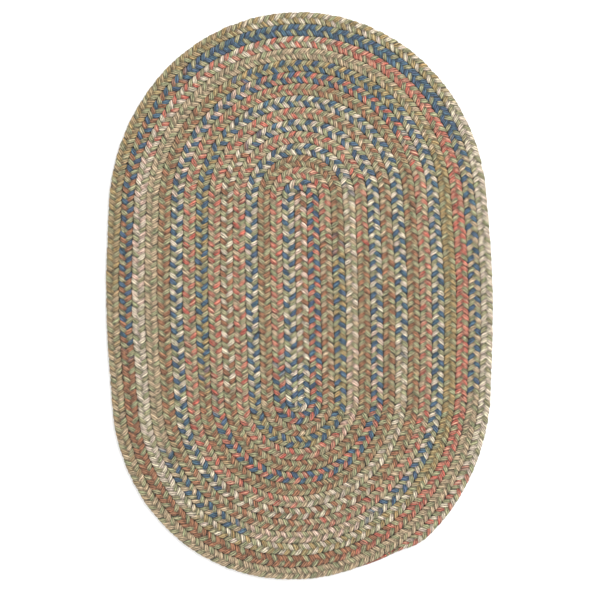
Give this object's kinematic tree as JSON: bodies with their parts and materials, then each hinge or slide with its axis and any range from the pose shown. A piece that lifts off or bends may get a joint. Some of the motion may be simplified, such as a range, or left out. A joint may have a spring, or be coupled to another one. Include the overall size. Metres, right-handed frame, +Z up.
{
  "type": "braided rug",
  "caption": "Flat oval floor rug: a long flat yarn braid wound as a spiral and laced edge to edge, its end tapered into the rim. Lies on a floor.",
  "frame": {"origin": "on the floor, under the middle of the rug's bounding box", "axes": "+Z up, the long side along Y, the braid's tapered end at the near right, towards +X and -Y"},
  "size_m": [0.6096, 0.8938, 0.011],
  "materials": {
    "braid_yarn": "matt heathered wool yarns in sage, sand, cream, coral, rust, gold and navy"
  },
  "bodies": {
    "root": {"braided_rug": "braid_yarn"}
  },
  "joints": []
}
